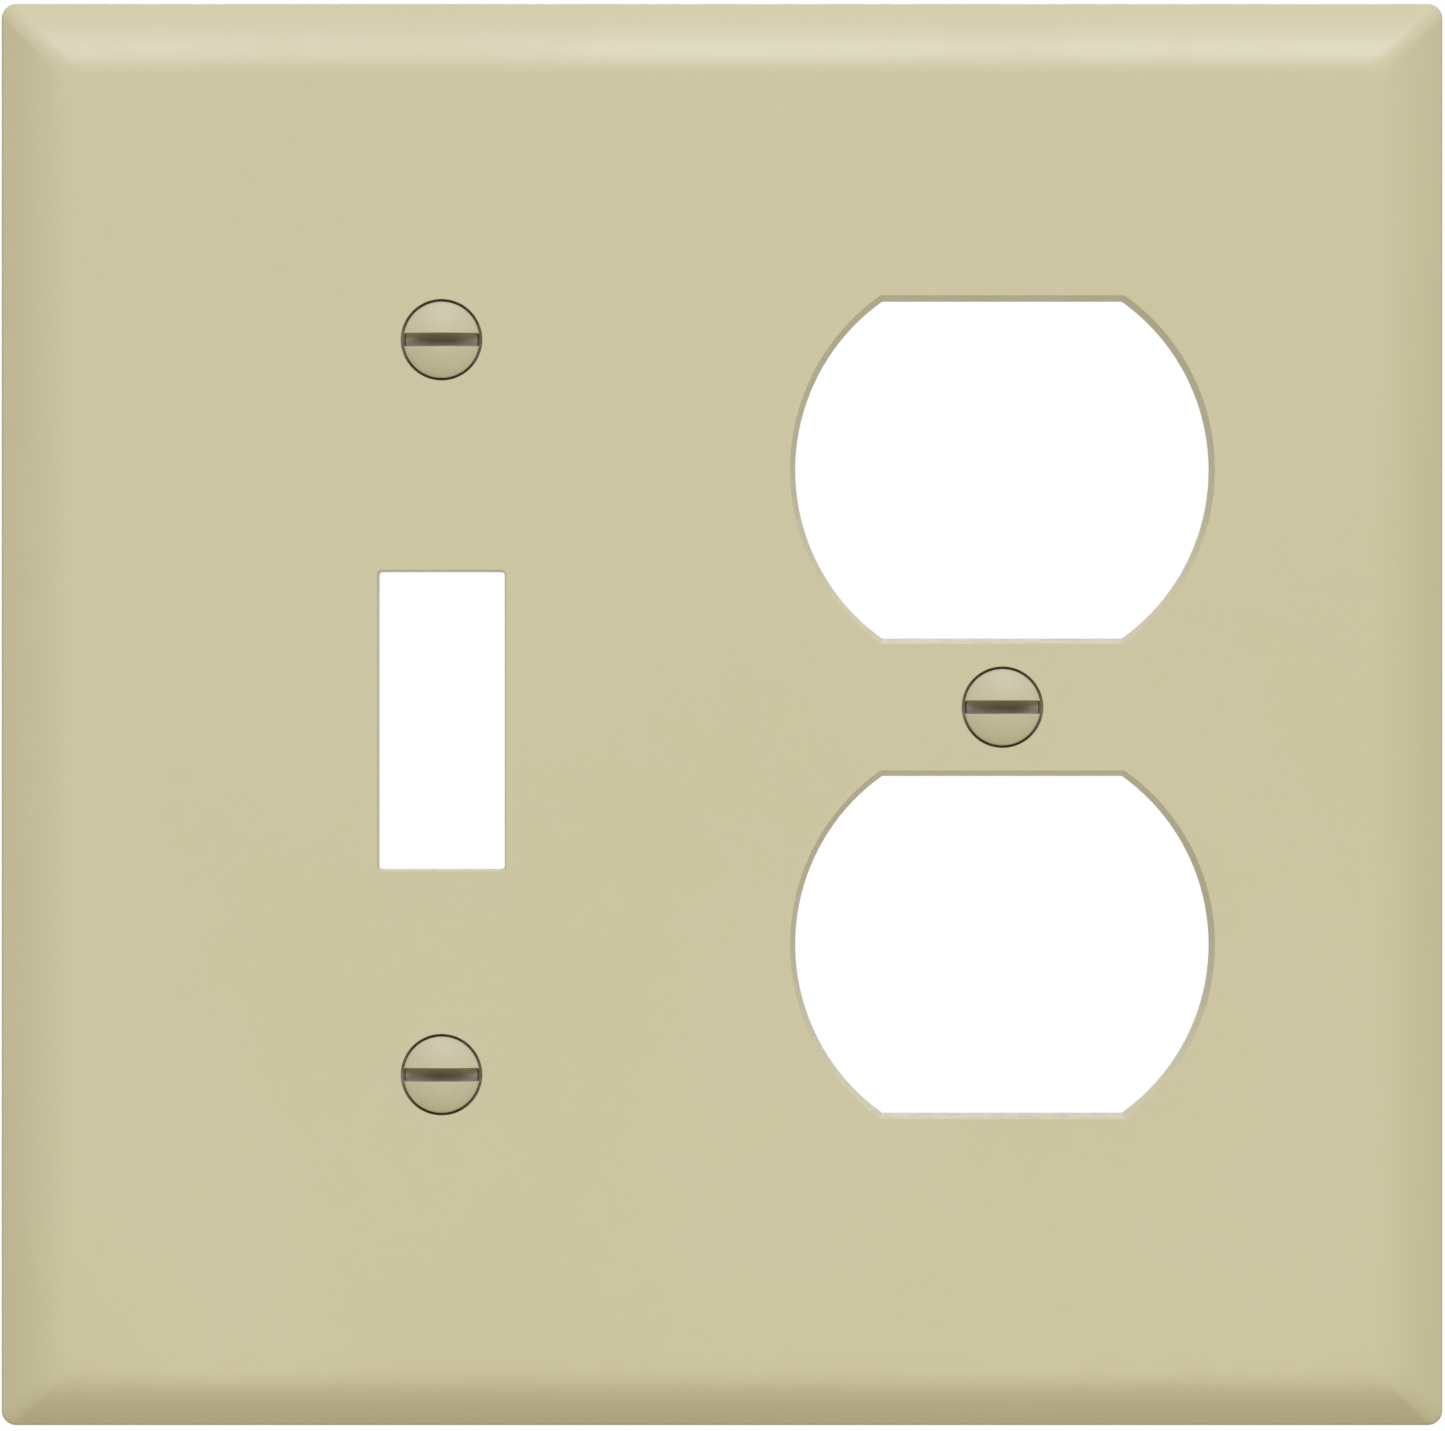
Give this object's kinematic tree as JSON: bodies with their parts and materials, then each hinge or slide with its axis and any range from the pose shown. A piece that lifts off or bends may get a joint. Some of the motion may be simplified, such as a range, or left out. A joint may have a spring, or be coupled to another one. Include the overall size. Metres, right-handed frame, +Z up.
{
  "type": "combination wall plate",
  "caption": "Moulded wall plate with a toggle switch opening beside duplex receptacle openings, held by slotted oval-head screws.",
  "frame": {"origin": "centre of the plate's outline on the wall plane, where its rim meets the wall", "axes": "+X to the right, +Z up, +Y into the wall; the front faces -Y"},
  "size_m": [0.1186, 0.0136, 0.117],
  "materials": {
    "ivory_plastic": "satin moulded ivory plastic, smooth front with very fine texture",
    "painted_screw": "steel with ivory enamel on the head, zinc plated thread",
    "nylon": "milky natural nylon"
  },
  "bodies": {
    "plate": {"wall_plate": "ivory_plastic"},
    "upper_toggle_retainer": {"upper_toggle_screw_retainer": "nylon"},
    "upper_toggle_screw": {"upper_toggle_screw": "painted_screw"},
    "lower_toggle_retainer": {"lower_toggle_screw_retainer": "nylon"},
    "lower_toggle_screw": {"lower_toggle_screw": "painted_screw"},
    "receptacle_retainer": {"receptacle_screw_retainer": "nylon"},
    "receptacle_screw": {"receptacle_screw": "painted_screw"}
  },
  "joints": [
    {"name": "upper_toggle_screw_travel", "type": "slide", "parent": "plate", "child": "upper_toggle_retainer", "axis": [0, -1, 0], "range_m": [0, 0.00456]},
    {"name": "upper_toggle_screw_turn", "type": "hinge", "parent": "upper_toggle_retainer", "child": "upper_toggle_screw", "pos_m": [-0.02302, 0, 0.03076], "axis": [0, -1, 0], "range_deg": [0, 2070]},
    {"name": "lower_toggle_screw_travel", "type": "slide", "parent": "plate", "child": "lower_toggle_retainer", "axis": [0, -1, 0], "range_m": [0, 0.00456]},
    {"name": "lower_toggle_screw_turn", "type": "hinge", "parent": "lower_toggle_retainer", "child": "lower_toggle_screw", "pos_m": [-0.02302, 0, -0.02956], "axis": [0, -1, 0], "range_deg": [0, 2070]},
    {"name": "receptacle_screw_travel", "type": "slide", "parent": "plate", "child": "receptacle_retainer", "axis": [0, -1, 0], "range_m": [0, 0.00456]},
    {"name": "receptacle_screw_turn", "type": "hinge", "parent": "receptacle_retainer", "child": "receptacle_screw", "pos_m": [0.02302, 0, 0.0006], "axis": [0, -1, 0], "range_deg": [0, 2070]}
  ],
  "couplings": [
    {"joint": "upper_toggle_screw_turn", "follows": "upper_toggle_screw_travel", "rad_per_m": 7915.8},
    {"joint": "lower_toggle_screw_turn", "follows": "lower_toggle_screw_travel", "rad_per_m": 7915.8},
    {"joint": "receptacle_screw_turn", "follows": "receptacle_screw_travel", "rad_per_m": 7915.8}
  ]
}
